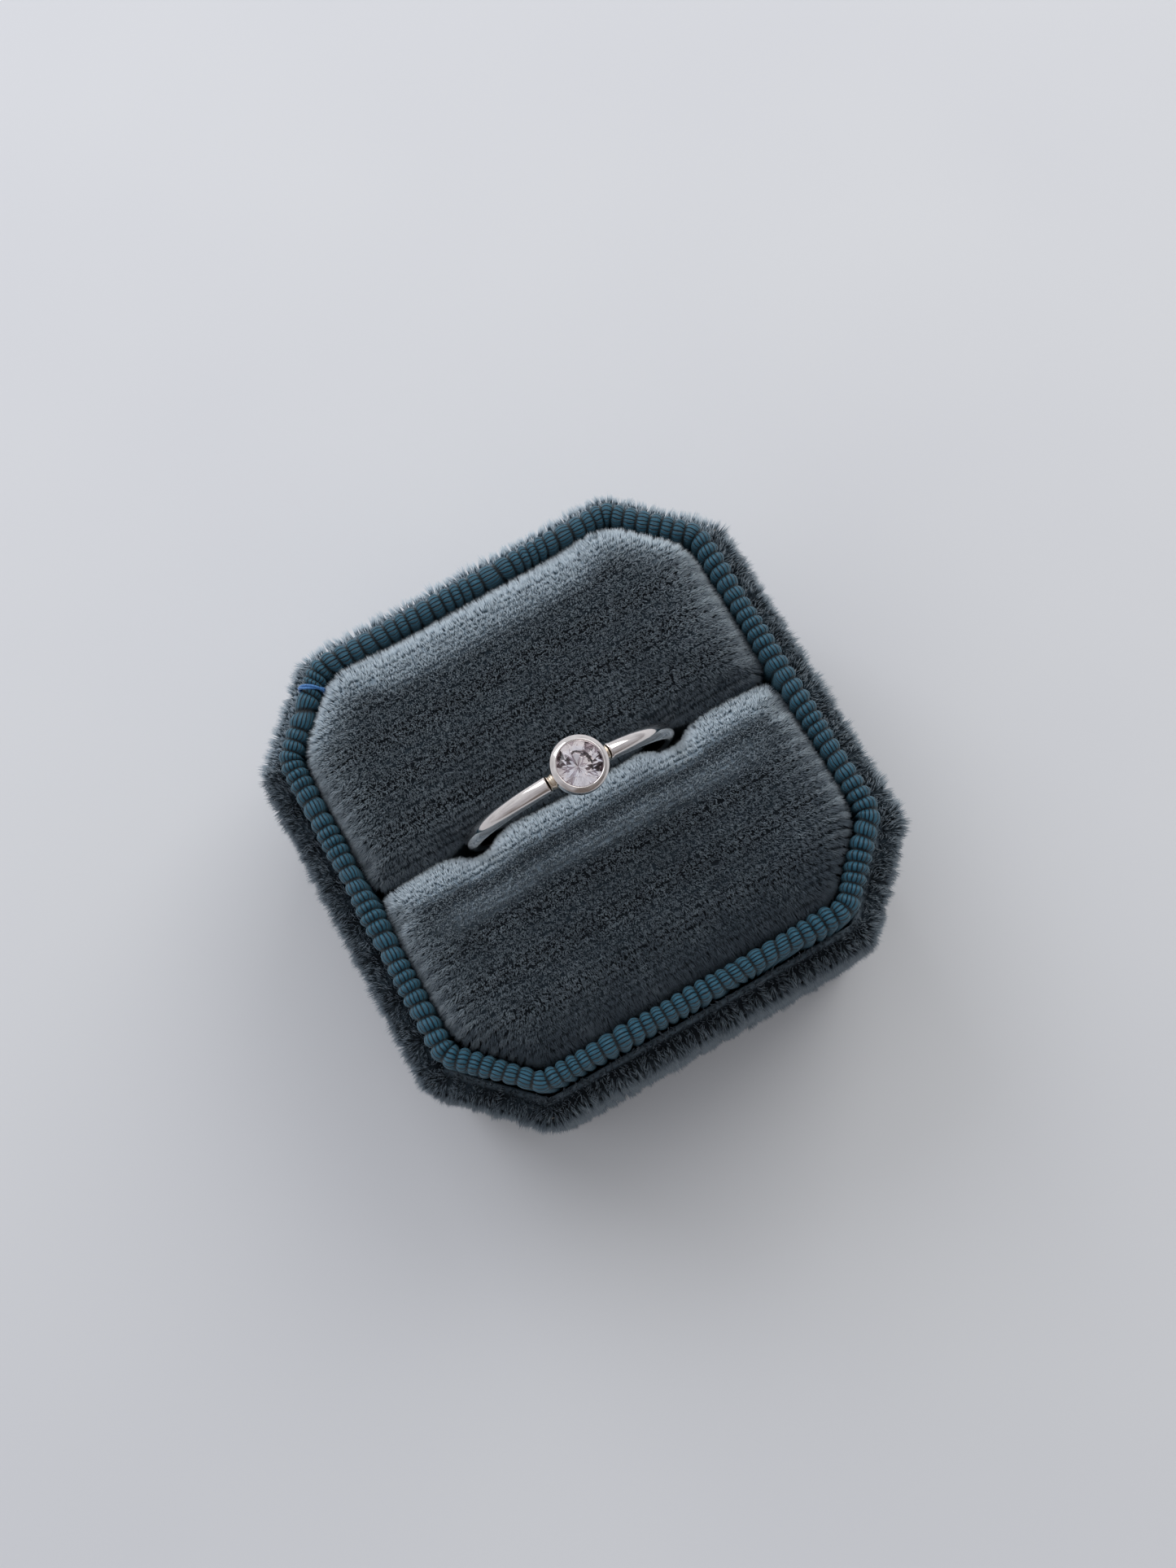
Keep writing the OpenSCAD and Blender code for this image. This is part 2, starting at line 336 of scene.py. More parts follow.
def velvet_ground():
    """The woven ground that the pile stands in: matt rows of tuft roots, dark, with painted light making it
    paler where it faces the window at the back.
    """
    made, tree, out = empty_material("woven_velvet_ground")
    place = put(tree, "ShaderNodeTexCoord")
    rows = put(tree, "ShaderNodeTexWave",
               {"Vector": place.outputs["Object"], "Scale": per(TUFT_ROW) / 20, "Distortion": 1.5,
                "Detail": 2.0}, bands_direction="Y")
    grain = put(tree, "ShaderNodeTexNoise",
                {"Vector": place.outputs["Object"], "Scale": per(0.3), "Detail": 4.0})
    mixed = put(tree, "ShaderNodeMath",
                {0: rows.outputs["Fac"], 1: grain.outputs["Fac"]}, operation="MULTIPLY")
    # the same ground dark and painted paler; the paler copy is painted light
    shaded_velvet = put(tree, "ShaderNodeValToRGB",
                 {"Fac": mixed.outputs[0]}, stops=[(0.0, "#10161b"), (0.8, "#3a4750")]).outputs["Color"]
    sheen_lit_velvet = put(tree, "ShaderNodeValToRGB",
                 {"Fac": mixed.outputs[0]}, stops=[(0.0, "#6a7984"), (0.8, "#a3b3be")]).outputs["Color"]
    # painted light: where the cloth turns down at the back, facing the window, its colour is mixed towards
    # the paler copy
    turned = put(tree, "ShaderNodeSeparateXYZ", {"Vector": place.outputs["Normal"]})
    back = put(tree, "ShaderNodeMapRange",
               {"Value": turned.outputs["Y"], "From Min": 0.0, "From Max": 0.45},
               interpolation_type="SMOOTHSTEP")
    colour = put(tree, "ShaderNodeMix",
                 {"Factor": back.outputs["Result"], 6: shaded_velvet, 7: sheen_lit_velvet}, data_type="RGBA").outputs[2]
    relief = put(tree, "ShaderNodeBump",
                 {"Height": mixed.outputs[0], "Strength": 0.6, "Distance": 0.2 * MM})
    shade = put(tree, "ShaderNodeBsdfPrincipled",
                {"Base Color": colour, "Roughness": 0.9, "Specular IOR Level": 0.2, "Sheen Weight": 0.3,
                 "Sheen Roughness": 0.5, "Sheen Tint": srgb("#9fb2bf"), "Normal": relief.outputs["Normal"]})
    tree.links.new(shade.outputs[0], out.inputs["Surface"])
    return made


THREAD_PITCH = 0.36


def polyester_grosgrain():
    """Polyester grosgrain: fine bright warp threads lie over thick cords, with dark lines between, and
    painted shade darkens the grooves between the cords.
    """
    made, tree, out = empty_material("polyester_grosgrain_woven")
    map_rib = put(tree, "ShaderNodeUVMap", uv_map="weave")
    weave = put(tree, "ShaderNodeSeparateXYZ", {"Vector": map_rib.outputs["UV"]})
    rib = put(tree, "ShaderNodeMath", {0: weave.outputs["X"]}, operation="FLOOR")
    across = put(tree, "ShaderNodeMath", {0: weave.outputs["X"]}, operation="FRACT")
    # alternate cords are crossed by alternate threads, so the dark lines shift by half a thread
    shift = put(tree, "ShaderNodeMath", {0: rib.outputs[0], 1: 0.5}, operation="MULTIPLY")
    wander = put(tree, "ShaderNodeTexNoise",
                 {"Vector": map_rib.outputs["UV"], "Scale": 0.8, "Detail": 2.0})
    threads = put(tree, "ShaderNodeMath",
                  {0: weave.outputs["Y"], 1: 1 / THREAD_PITCH}, operation="MULTIPLY")
    moved = put(tree, "ShaderNodeMath", {0: threads.outputs[0], 1: shift.outputs[0]}, operation="ADD")
    bent = put(tree, "ShaderNodeMath", {0: moved.outputs[0], 1: wander.outputs["Fac"]}, operation="ADD")
    phase = put(tree, "ShaderNodeMath", {0: bent.outputs[0], 1: 0.5}, operation="PINGPONG")
    thread = put(tree, "ShaderNodeMapRange",
                 {"Value": phase.outputs[0], "From Min": 0.0, "From Max": 0.24},
                 interpolation_type="SMOOTHSTEP")
    # painted shade: the narrow groove between cords is darkened
    crest = put(tree, "ShaderNodeMath", {0: across.outputs[0], 1: 0.5}, operation="PINGPONG")
    cord = put(tree, "ShaderNodeMapRange",
               {"Value": crest.outputs[0], "From Min": 0.0, "From Max": 0.16},
               interpolation_type="SMOOTHSTEP")
    # single filaments are a twentieth of a millimetre: drawn twice as coarse, to show
    stretch = put(tree, "ShaderNodeVectorMath",
                  {0: map_rib.outputs["UV"], 1: (0.7, 11.0, 1.0)}, operation="MULTIPLY")
    filament = put(tree, "ShaderNodeTexNoise",
                   {"Vector": stretch.outputs[0], "Scale": 1.0, "Detail": 3.0, "Roughness": 0.7})
    weave_and_groove_shade = put(tree, "ShaderNodeMath",
              {0: thread.outputs["Result"], 1: cord.outputs["Result"]}, operation="MULTIPLY")
    streak = put(tree, "ShaderNodeMapRange",
                 {"Value": filament.outputs["Fac"], "From Min": 0.25, "From Max": 0.75, "To Min": 0.62,
                  "To Max": 1.12})
    tone = put(tree, "ShaderNodeMath",
               {0: weave_and_groove_shade.outputs[0], 1: streak.outputs["Result"]}, operation="MULTIPLY")
    colour = put(tree, "ShaderNodeValToRGB",
                 {"Fac": tone.outputs[0]},
                 stops=[(0.0, "#02080c"), (0.5, "#0d2936"), (1.0, "#2a6076")]).outputs["Color"]
    height = put(tree, "ShaderNodeMath",
                 {0: thread.outputs["Result"], 1: filament.outputs["Fac"]}, operation="ADD")
    relief = put(tree, "ShaderNodeBump",
                 {"Height": height.outputs[0], "Strength": 0.8, "Distance": 0.12 * MM})
    shade = put(tree, "ShaderNodeBsdfPrincipled",
                {"Base Color": colour, "Roughness": 0.42, "Specular IOR Level": 0.4, "Sheen Weight": 0.2,
                 "Sheen Roughness": 0.4, "Sheen Tint": srgb("#a9d3e0"), "Normal": relief.outputs["Normal"]})
    tree.links.new(shade.outputs[0], out.inputs["Surface"])
    return made


def polyester_thread():
    """Twisted polyester sewing thread, a clearer blue than the ribbon, with a soft shine."""
    return mottled("polyester_sewing_thread", {"Scale": per(0.12), "Detail": 2.0},
                   [(0.3, "#1c4f86"), (0.7, "#4f8fd0")], {"Roughness": 0.45, "Sheen Weight": 0.2})


def greyboard():
    """Pressed greyboard: recycled pulp with darker fibres in it, matt and slightly fuzzy."""
    return mottled("greyboard_pressed_pulp", {"Scale": per(0.8), "Detail": 8.0, "Roughness": 0.7},
                   [(0.3, "#77716a"), (0.7, "#9b958c")], {"Roughness": 0.9}, relief=(0.3, 0.05))


def flocked_paper():
    """Flocked paper under the box: short dark flock, matt, with a faint lift where it is rubbed."""
    made, tree, out = empty_material("flocked_paper")
    place = put(tree, "ShaderNodeTexCoord")
    flock = put(tree, "ShaderNodeTexNoise",
                {"Vector": place.outputs["Object"], "Scale": per(0.15), "Detail": 4.0})
    rubbed = put(tree, "ShaderNodeTexNoise",
                 {"Vector": place.outputs["Object"], "Scale": per(9), "Detail": 3.0})
    both = put(tree, "ShaderNodeMath",
               {0: flock.outputs["Fac"], 1: rubbed.outputs["Fac"]}, operation="MULTIPLY")
    colour = put(tree, "ShaderNodeValToRGB",
                 {"Fac": both.outputs[0]}, stops=[(0.1, "#1d2328"), (0.45, "#3b444b")]).outputs["Color"]
    relief = put(tree, "ShaderNodeBump",
                 {"Height": flock.outputs["Fac"], "Strength": 0.5, "Distance": 0.08 * MM})
    shade = put(tree, "ShaderNodeBsdfPrincipled",
                {"Base Color": colour, "Roughness": 0.95, "Sheen Weight": 0.3,
                 "Normal": relief.outputs["Normal"]})
    tree.links.new(shade.outputs[0], out.inputs["Surface"])
    return made


def pad_foam():
    """Grey polyether foam, cut: fine open cells that keep it matt."""
    made, tree, out = empty_material("polyether_foam_cut")
    place = put(tree, "ShaderNodeTexCoord")
    cells = put(tree, "ShaderNodeTexVoronoi", {"Vector": place.outputs["Object"], "Scale": per(0.4)})
    colour = put(tree, "ShaderNodeValToRGB",
                 {"Fac": cells.outputs["Distance"]},
                 stops=[(0.1, "#4d5358"), (0.6, "#767c80")]).outputs["Color"]
    relief = put(tree, "ShaderNodeBump",
                 {"Height": cells.outputs["Distance"], "Strength": 0.6, "Distance": 0.1 * MM})
    shade = put(tree, "ShaderNodeBsdfPrincipled",
                {"Base Color": colour, "Roughness": 0.9, "Normal": relief.outputs["Normal"]})
    tree.links.new(shade.outputs[0], out.inputs["Surface"])
    return made


def white_gold():
    """White gold, rhodium plated and buffed: a warm mirror with hairline buffing marks."""
    made, tree, out = empty_material("white_gold_polished")
    place = put(tree, "ShaderNodeTexCoord")
    marks = put(tree, "ShaderNodeTexNoise",
                {"Vector": place.outputs["Object"], "Scale": per(0.5), "Detail": 6.0, "Roughness": 0.7})
    gloss = put(tree, "ShaderNodeMapRange",
                {"Value": marks.outputs["Fac"], "From Min": 0.3, "From Max": 0.75, "To Min": 0.06,
                 "To Max": 0.15})
    colour = put(tree, "ShaderNodeValToRGB",
                 {"Fac": marks.outputs["Fac"]}, stops=[(0.3, "#e4dcd8"), (0.7, "#efe9e6")]).outputs["Color"]
    relief = put(tree, "ShaderNodeBump",
                 {"Height": marks.outputs["Fac"], "Strength": 0.08, "Distance": 0.02 * MM})
    shade = put(tree, "ShaderNodeBsdfPrincipled",
                {"Base Color": colour, "Metallic": 1.0, "Roughness": gloss.outputs["Result"],
                 "Normal": relief.outputs["Normal"]})
    tree.links.new(shade.outputs[0], out.inputs["Surface"])
    return made


def gold_solder():
    """Gold solder, flowed and only partly polished: yellower than the ring and a little rough."""
    return mottled("gold_solder_flowed", {"Scale": per(0.25), "Detail": 5.0},
                   [(0.3, "#c4b199"), (0.7, "#e9dccb")], {"Metallic": 1.0, "Roughness": 0.22},
                   relief=(0.5, 0.05))


def cut_stone():
    """A colourless brilliant, cut and polished: clear and faintly tinted, so its inside shows sharply."""
    return mottled("colourless_stone_cut", {"Scale": per(1.6), "Detail": 0.0},
                   [(0.4, "#fff4f2"), (0.6, "#f4f4ff")],
                   {"Roughness": 0.0, "IOR": 1.5, "Transmission Weight": 1.0})


SPOKES = 16
SPLINTER_RINGS = 3.1
ZIGZAG_DEPTH = 1.7


def stone_mirrors():
    """The pavilion from inside: facets that mirror each other, in zigzag rings of splinters, each given a
    painted reflection.
    """
    made, tree, out = empty_material("colourless_stone_pavilion")
    map_facet = put(tree, "ShaderNodeUVMap", uv_map="facet")
    place = put(tree, "ShaderNodeSeparateXYZ", {"Vector": map_facet.outputs["UV"]})
    bearing = put(tree, "ShaderNodeMath", {0: place.outputs["Y"], 1: place.outputs["X"]},
                  operation="ARCTAN2")
    spokes = put(tree, "ShaderNodeMath", {0: bearing.outputs[0], 1: SPOKES / (2 * math.pi)},
                 operation="MULTIPLY")
    spoke = put(tree, "ShaderNodeMath", {0: spokes.outputs[0]}, operation="FLOOR")
    from_middle = put(tree, "ShaderNodeVectorMath", {0: map_facet.outputs["UV"]}, operation="LENGTH")
    zigzag = put(tree, "ShaderNodeMath", {0: spokes.outputs[0], 1: 0.5}, operation="PINGPONG")
    far = put(tree, "ShaderNodeMath", {0: from_middle.outputs["Value"], 1: SPLINTER_RINGS},
              operation="MULTIPLY")
    notched = put(tree, "ShaderNodeMath", {0: zigzag.outputs[0], 1: ZIGZAG_DEPTH, 2: far.outputs[0]},
                  operation="MULTIPLY_ADD")
    ring = put(tree, "ShaderNodeMath", {0: notched.outputs[0]}, operation="FLOOR")
    # each splinter, between two spokes and two rings, is painted a bright or dim reflection by chance
    splinter = put(tree, "ShaderNodeCombineXYZ", {"X": spoke.outputs[0], "Y": ring.outputs[0]})
    painted_reflection = put(tree, "ShaderNodeTexWhiteNoise", {"Vector": splinter.outputs[0]}, noise_dimensions="3D")
    colour = put(tree, "ShaderNodeValToRGB", {"Fac": painted_reflection.outputs["Value"]},
                 stops=[(0.06, "#5e4f52"), (0.2, "#b4a8ae"), (0.4, "#ffffff")]).outputs["Color"]
    shade = put(tree, "ShaderNodeBsdfPrincipled",
                {"Base Color": colour, "Metallic": 1.0, "Roughness": 0.03})
    tree.links.new(shade.outputs[0], out.inputs["Surface"])
    return made


def matt_table():
    """A plain pale matt table top with the faintest mottle."""
    return mottled("matt_table_top", {"Scale": per(60), "Detail": 2.0},
                   [(0.35, "#dcdddf"), (0.65, "#dfe0e1")], {"Roughness": 0.6})


PILE = cotton_velvet_pile()
GROUND = velvet_ground()
RIBBON = polyester_grosgrain()
THREAD = polyester_thread()
BOARD = greyboard()
FLOCK = flocked_paper()
FOAM = pad_foam()
GOLD = white_gold()
SOLDER = gold_solder()
STONE = cut_stone()
MIRRORS = stone_mirrors()
TABLE = matt_table()


# ---- pile ----

MOST_FIBRES = 49_900
TABLE_CLEAR = 0.02
# half a tuft's size, the long way and the short way
TUFT_LONG = 0.25
TUFT_SHORT = 0.17
# how much a tuft's fibres splay and stray, and their shortest and longest as shares of its length
SPLAY = 0.9
FIBRE_STRAY = 0.09
FIBRE_LENGTHS = (0.75, 1.1)
# the tallest tuft as a share of the common length, and how far looseness lowers the shortest
TALLEST_TUFT = 1.08
LOOSE_DROP = 2.2
# how much the tone differs at random from tuft to tuft, where painted sheen makes it pale and where it stays
# dark
PALE_SCATTER = 0.04
DARK_SCATTER = 0.075


def pile(name, roots, normals, lean, length, width, pieces, tone, seed, loose=0.07):
    """Tufts of cut pile: at each root a cluster of tapered fibres that splay and lean with the nap.

    Lean is the sideways run of a fibre for one of rise. Lean, length and tone may differ by root.
    Loose is how far whole tufts stray from the nap's lean, and from the common length.
    The fibres are shared out over some pieces, so that each piece stays light, and none of them
    reaches into the table.
    """
    rng = np.random.default_rng(seed)
    count = len(roots)
    each = MOST_FIBRES // count
    fibres = each * pieces
    side = np.cross(normals, [1.0, 0.0, 0.0])
    side[np.linalg.norm(side, axis=1) < 0.2] = [0.0, 1.0, 0.0]
    side /= np.linalg.norm(side, axis=1)[:, None]
    other = np.cross(normals, side)
    angle = rng.uniform(0, 2 * math.pi, (count, fibres, 1))
    reach = np.sqrt(rng.uniform(0, 1, (count, fibres, 1)))
    spread = reach * (np.cos(angle) * side[:, None] * TUFT_LONG
                      + np.sin(angle) * other[:, None] * TUFT_SHORT)
    tuft_swing = rng.normal(0, loose, (count, 1, 3))
    direction = normals[:, None] + np.broadcast_to(lean, (count, 3))[:, None] + tuft_swing
    direction = direction + spread * SPLAY + rng.normal(0, FIBRE_STRAY, (count, fibres, 3))
    direction /= np.linalg.norm(direction, axis=2)[..., None]
    tall = np.broadcast_to(length, count)[:, None, None] * rng.uniform(*FIBRE_LENGTHS, (count, fibres, 1))
    tall = tall * rng.uniform(1 - LOOSE_DROP * loose, TALLEST_TUFT, (count, 1, 1))
    foot = roots[:, None] + spread
    tip = foot + direction * tall
    tip[..., 2] = np.maximum(tip[..., 2], TABLE_CLEAR)
    across = np.cross(direction, rng.normal(0, 1, (count, fibres, 3)))
    across /= np.linalg.norm(across, axis=2)[..., None]
    third = np.cross(direction, across)
    corners_of_foot = [foot + (math.cos(a) * across + math.sin(a) * third) * width / 2
                       for a in (0, math.radians(120), math.radians(240))]
    fibre = np.stack(corners_of_foot + [tip], 2)
    base = np.arange(count * each)[:, None] * 4
    triangles = ([0, 1, 3], [1, 2, 3], [2, 0, 3], [0, 2, 1])
    faces = np.stack([base + triangle for triangle in triangles], 1).reshape(-1, 3)
    tone = np.broadcast_to(tone, count)
    # the tone carries the caller's painted light and sheen; only the scatter added here is random
    shade = tone + rng.normal(0, 1, count) * np.where(tone > 0.5, PALE_SCATTER, DARK_SCATTER)
    shade = np.repeat(np.clip(shade, 0.02, 0.98), each * 4)
    # rise drives the pile material's painted shade, darker towards each fibre's root
    rise = np.tile([0.0, 0.0, 0.0, 1.0], count * each)
    made = []
    for number in range(pieces):
        points = fibre[:, number * each:(number + 1) * each].reshape(-1, 3)
        piece = make(f"{name}_{number + 1}", points, faces, PILE)
        set_uv(piece, "pile", np.stack([shade, rise], -1))
        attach(piece, "box")
        made.append(piece)
    return made


def eased(value, start, end):
    """0 before start, 1 past end, and a smooth rise between."""
    part = np.clip((value - start) / (end - start), 0, 1)
    return part * part * (3 - 2 * part)


# ---- pads ----

# the cloth is blown up at ten times its size, on a mesh this fine, for this many steps
SIM_SCALE = 10.0
SIM_MESH = 0.75
SIM_STEPS = 20
SMOOTHINGS = 14
PAD_SWELL = 0.45
BACKING_T = 0.25
CARD_CLEAR = 0.05
# edge radii: as blown up, then drawn tighter at the slit and at the outside
PAD_ROUND = 2.6
SLIT_ROUND = 1.3
EDGE_ROUND = 1.8
SLIT_END_DRAW = 2.2
# half the slit's width where it is shut, and the cloth's room off the wire behind it and in front
SLIT_SHUT = 0.3
ROOM_BEHIND = 0.2
ROOM_IN_FRONT = 0.85
# how far past the wire the slit stays open, how softly it shuts, and how deep the pads give
WIRE_EDGE = 0.7
WIRE_FADE = 1.6
GIVE_DEPTH = 2.4
# how far down a pad's sides its pile goes
PILE_DEPTH = 3.8


def stuffed(node, name):
    """A pad's form: its foam, a little small, blown up as cloth, smoothed and given the backing's thickness;
    pad then eases it where it meets the ring.
    """
    source = frame["nodes"][node].data.copy()
    source.transform(Matrix.Scale(SIM_SCALE, 4))
    body = linked(name, source)
    bpy.context.view_layer.objects.active = body
    remesh = body.modifiers.new("remesh", "REMESH")
    remesh.mode = "VOXEL"
    remesh.voxel_size = SIM_MESH * MM * SIM_SCALE
    remesh.use_smooth_shade = True
    apply_modifier(body, "remesh")
    rest = np.zeros(len(body.data.vertices) * 3)
    body.data.vertices.foreach_get("co", rest)
    rest = rest.reshape(-1, 3)
    blown = rest.copy()
    cloth = body.modifiers.new("stuffing", "CLOTH")
    cloth.settings.quality = 6
    cloth.settings.mass = 0.3
    cloth.settings.use_pressure = True
    cloth.settings.uniform_pressure_force = 4.0
    cloth.settings.effector_weights.gravity = 0.0
    for step in range(1, SIM_STEPS + 1):
        bpy.context.scene.frame_set(step)
    held = body.evaluated_get(bpy.context.evaluated_depsgraph_get())
    blown = np.zeros(len(rest) * 3)
    held.data.vertices.foreach_get("co", blown)
    blown = blown.reshape(-1, 3)
    body.modifiers.remove(cloth)
    bpy.context.scene.frame_set(1)
    moved = blown - rest
    far = np.linalg.norm(moved, axis=1)[:, None]
    most = PAD_SWELL * MM * SIM_SCALE
    settled = (rest + moved * np.minimum(1, most / np.maximum(far, 1e-9))) / SIM_SCALE / MM
    body.data.vertices.foreach_set("co", (settled * MM).ravel())
    smoothing = body.modifiers.new("smoothing", "SMOOTH")
    smoothing.iterations = SMOOTHINGS
    apply_modifier(body, "smoothing")
    settled = np.array([v.co for v in body.data.vertices]) / MM
    normals = np.array([v.normal for v in body.data.vertices])
    settled = settled + normals * BACKING_T
    settled[:, 2] = np.maximum(settled[:, 2], card_top + CARD_CLEAR)
    return body, settled


# ---- the ring's place ----

JOINT_AXIS = frame["joints"][0]["axis"]
LEAN = math.atan2(-JOINT_AXIS[1], JOINT_AXIS[2])
band_low, band_high = corners("ring_band")
bezel_middle = sum(corners("ring_bezel")) / 2
WIRE_R = 0.75
BAND_T = 1.25
RING_R = (band_high[0] - band_low[0]) / 2
ring_x = (band_high[0] + band_low[0]) / 2
ring_z = band_low[2] + (RING_R - WIRE_R) * math.cos(LEAN) + WIRE_R
ring_y = (rim_top - ring_z) * math.tan(LEAN)
ROLL = math.atan2(bezel_middle[0] - ring_x, (bezel_middle[2] - ring_z) / math.cos(LEAN))
PLACE = np.array(Matrix.Rotation(LEAN, 3, "X") @ Matrix.Rotation(ROLL, 3, "Y"))
RING_CENTRE = np.array([ring_x, ring_y, ring_z])


def on_ring(points):
    """Puts points drawn about the ring's centre, with the stone straight up, where the ring stands."""
    return np.asarray(points) @ PLACE.T + RING_CENTRE


# ---- the pads, finished ----

def slit_middle(height):
    """Where the slit's middle plane is at a height: it leans with the ring."""
    return (rim_top - height) * math.tan(LEAN)


def off_wire(points):
    """How far points are from the middle of the ring's wire, in the ring's own plane and across it."""
    local = (points - RING_CENTRE) @ PLACE
    return np.abs(np.hypot(local[:, 0], local[:, 2]) - (RING_R - WIRE_R)), np.abs(local[:, 1])


def pressed_on_ring(points, normals, side):
    """Draws the slit's edge tighter, and shuts the slit except where the ring's wire holds it open."""
    facing = -side * normals[:, 1]
    upright = np.hypot(normals[:, 0], normals[:, 1])
    gap = side * (points[:, 1] - slit_middle(points[:, 2]))
    slit_corner = np.clip(facing + normals[:, 2] - 1, 0, None) * (facing > 0) * (gap < 4)
    outer_corner = np.clip(upright + normals[:, 2] - 1, 0, None) * (gap > 4)
    slit_end = np.clip(facing + np.abs(normals[:, 0]) - 1, 0, None) * (facing > 0) * (gap < 5)
    drawn = slit_corner * (PAD_ROUND - SLIT_ROUND) + outer_corner * (PAD_ROUND - EDGE_ROUND)
    drawn = drawn + slit_end * SLIT_END_DRAW
    points = points + normals * drawn[:, None]
    gap = side * (points[:, 1] - slit_middle(points[:, 2]))
    face = (facing > 0.93) & (gap < 3)
    face_gap = np.median(gap[face])
    in_plane, _ = off_wire(points)
    held = WIRE_R + (ROOM_BEHIND if side > 0 else ROOM_IN_FRONT)
    past_wire = np.clip(in_plane - WIRE_EDGE, 0, None) / WIRE_FADE
    want = SLIT_SHUT + (held - SLIT_SHUT) * np.exp(-past_wire ** 2)
    near = np.exp(-np.clip(gap - face_gap, 0, None) / GIVE_DEPTH)
    points[:, 1] += side * (want - face_gap) * near
    points[face, 1] = slit_middle(points[face, 2]) + side * want[face]
    return points


def outline_over(surface, start, step, count, top):
    """A pad's outline in an upright plane: where things dropped on it land, ended straight down."""
    points = []
    for i in range(count):
        place = (start[0] + step[0] * i, start[1] + step[1] * i, top + 1)
        landed = surface.ray_cast(place, (0, 0, -1))[0]
        if landed is not None and landed.z > top - PILE_DEPTH:
            points.append(tuple(landed))
    ends = [(*points[0][:2], top - PILE_DEPTH), (*points[-1][:2], top - PILE_DEPTH)]
    return np.array(ends[:1] + points + ends[1:])


def tuft_roots(surface, low, high, rng):
    """Where tufts stand on a pad: rows along the slit, evenly spaced over its rounded edges too."""
    top = high[2]
    fine = 0.05
    margin = 0.2
    steep = 1.3
    deep, wide = [int((high[i] - low[i] + 2 * margin) / fine) for i in (1, 0)]
    spine = outline_over(surface, (0.0, low[1] - margin), (0.0, fine), deep, top)
    rows = resampled(spine, TUFT_ROW)[0]
    slope = np.gradient(rows, axis=0)
    lines = []
    for number, ((_, y, z), run) in enumerate(zip(rows, slope)):
        if abs(run[2]) > steep * abs(run[1]):
            line = np.array([(low[0], y, z), (high[0], y, z)])
        else:
            line = outline_over(surface, (low[0] - margin, y), (fine, 0.0), wide, top)
        line = resampled(line, TUFT_STEP)[0]
        lines.append((line[1:] + line[:-1]) / 2 if number % 2 else line)
    wanted = np.concatenate(lines)
    loose = 0.02 + 0.04 * (1 - eased(np.abs(wanted[:, :1]), 0.75 * high[0], 0.95 * high[0]))
    wanted = wanted + rng.normal(0, 1, wanted.shape) * loose
    found = [surface.find_nearest(place) for place in wanted]
    kept = [(root, face) for root, _, face, away in found if root is not None and away < 0.8]
    return np.array([root for root, _ in kept]), np.array([face for _, face in kept])


# how pale the pads' velvet shows on the level, behind the slit and in front of it; the rear pad's paler level
# is painted light
LEVEL_BEHIND = 0.53
LEVEL_IN_FRONT = 0.32


def pad_painted_light_tone(roots, normals, side):
    """How pale a pad's velvet is painted: painted light and sheen make it paler towards the back and on edges
    facing the window, and painted shade darkens it towards the front and on edges facing away.
    """
    depth = (roots[:, 1] - roots[:, 1].min()) / np.ptp(roots[:, 1])
    tone = LEVEL_BEHIND if side > 0 else LEVEL_IN_FRONT
    # painted light and shade: paler towards the back and on edges facing the window, darker towards the front
    # and on edges facing away, paler at the ends
    tone = tone + (0.20 * eased(depth, 0.5, 1.0) - 0.14 * (1 - eased(depth, 0.05, 0.5)))
    tone = tone + 0.6 * eased(normals[:, 1], 0.03, 0.6)
    tone = tone - 0.24 * eased(-normals[:, 1], 0.05, 0.7)
    tone = tone + 0.08 * eased(np.abs(normals[:, 0]), 0.2, 0.9)
    # near the pads' ends the rows show as stripes
    stripes = eased(np.abs(roots[:, 0]) / pad_half, 0.7, 0.95) * np.cos(roots[:, 1] * math.pi / TUFT_ROW)
    # the slope across is painted light, a little paler to the left
    return tone + 0.14 * stripes - 0.04 * roots[:, 0] / pad_half


def pad(name, foam, cover, side, seed):
    """One velvet pad and its pile. Side is 1 for the pad behind the slit and -1 for the one in front."""
    body, points = stuffed(foam, name)
    body.data.vertices.foreach_set("co", (points * MM).ravel())
    body.data.update()
    normals = np.array([v.normal for v in body.data.vertices])
    points = pressed_on_ring(points, normals, side)
    body.data.vertices.foreach_set("co", (points * MM).ravel())
    body.data.materials.clear()
    body.data.materials.append(GROUND)
    finer = body.modifiers.new("finer", "SUBSURF")
    finer.levels = 1
    apply_modifier(body, "finer")
    body.data.polygons.foreach_set("use_smooth", np.ones(len(body.data.polygons), bool))
    body.data.update()
    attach(body, "box")
    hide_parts(cover, foam)

    vertices = np.array([v.co for v in body.data.vertices]) / MM
    faces = [tuple(p.vertices) for p in body.data.polygons]
    surface = BVHTree.FromPolygons(vertices.tolist(), faces)
    roots, on_faces = tuft_roots(surface, vertices.min(0), vertices.max(0), np.random.default_rng(seed))
    smooth = np.array([v.normal for v in body.data.vertices])
    normals = np.array([smooth[list(faces[number])].mean(0) for number in on_faces])
    normals /= np.linalg.norm(normals, axis=1)[:, None]
    in_plane, across = off_wire(roots)
    room = np.hypot(in_plane, across) - WIRE_R
    outer = eased(np.hypot(normals[:, 0], np.clip(side * normals[:, 1], 0, None)), 0.3, 0.9)
    lean = np.outer(eased(normals[:, 1], 0.2, 0.8) * 0.55 - 0.30, [0.0, 1.0, 0.0])
    length = 0.58 * (1 + 0.7 * outer) * np.clip(0.2 + room / 1.0, 0.2, 1)
    pile(name + "_pile", roots, normals, lean, length, 0.10, 2, pad_painted_light_tone(roots, normals, side), seed)


pad("rear_pad", "rear_pad_foam", "rear_pad_cover", 1, 11)
pad("front_pad", "front_pad_foam", "front_pad_cover", -1, 12)


# ---- the shell's velvet ----

SHELL_CORNER = 2.3
CLOTH_T = 0.25
